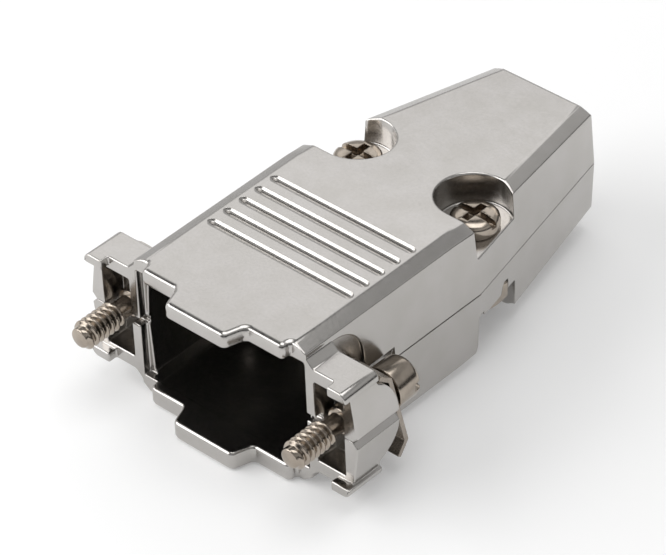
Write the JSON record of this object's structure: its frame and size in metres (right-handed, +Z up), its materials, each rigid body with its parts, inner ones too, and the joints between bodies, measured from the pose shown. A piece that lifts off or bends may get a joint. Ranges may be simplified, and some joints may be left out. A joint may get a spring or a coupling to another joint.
{
  "type": "d-sub hood",
  "caption": "Empty plated metal hood for a d-sub connector: clamshell halves with a straight cable outlet, long jackscrews held by sprung clips and a cable clamp inside.",
  "frame": {"origin": "middle of the connector mouth, on the plane where the two shells part and in line with the front faces of the shells", "axes": "+X across the hood towards its right jackscrew, +Y from the mouth to the cable outlet, +Z up through the grooved shell"},
  "size_m": [0.0316, 0.0483, 0.0154],
  "materials": {
    "shell_plating": "satin nickel plate on die-cast zinc",
    "screw_plating": "bright nickel plate on steel",
    "clip_plating": "nickel plate on spring steel strip"
  },
  "bodies": {
    "hood": {"top_shell": "shell_plating", "bottom_shell": "shell_plating", "retaining_clip_left": "clip_plating", "retaining_clip_right": "clip_plating", "housing_screw_left": "screw_plating", "housing_screw_right": "screw_plating", "housing_nut_left": "screw_plating", "housing_nut_right": "screw_plating", "clamp_saddle_upper": "clip_plating", "clamp_saddle_lower": "clip_plating", "clamp_screw_left": "screw_plating", "clamp_screw_right": "screw_plating", "clamp_nut_left": "screw_plating", "clamp_nut_right": "screw_plating"},
    "left_jackscrew": {"jackscrew_left": "screw_plating"},
    "right_jackscrew": {"jackscrew_right": "screw_plating"}
  },
  "joints": [
    {"name": "left_jackscrew_turn", "type": "hinge", "parent": "hood", "child": "left_jackscrew", "pos_m": [-0.01249, 0, 0], "axis": [0, 1, 0], "continuous": true},
    {"name": "right_jackscrew_turn", "type": "hinge", "parent": "hood", "child": "right_jackscrew", "pos_m": [0.01249, 0, 0], "axis": [0, 1, 0], "continuous": true}
  ]
}
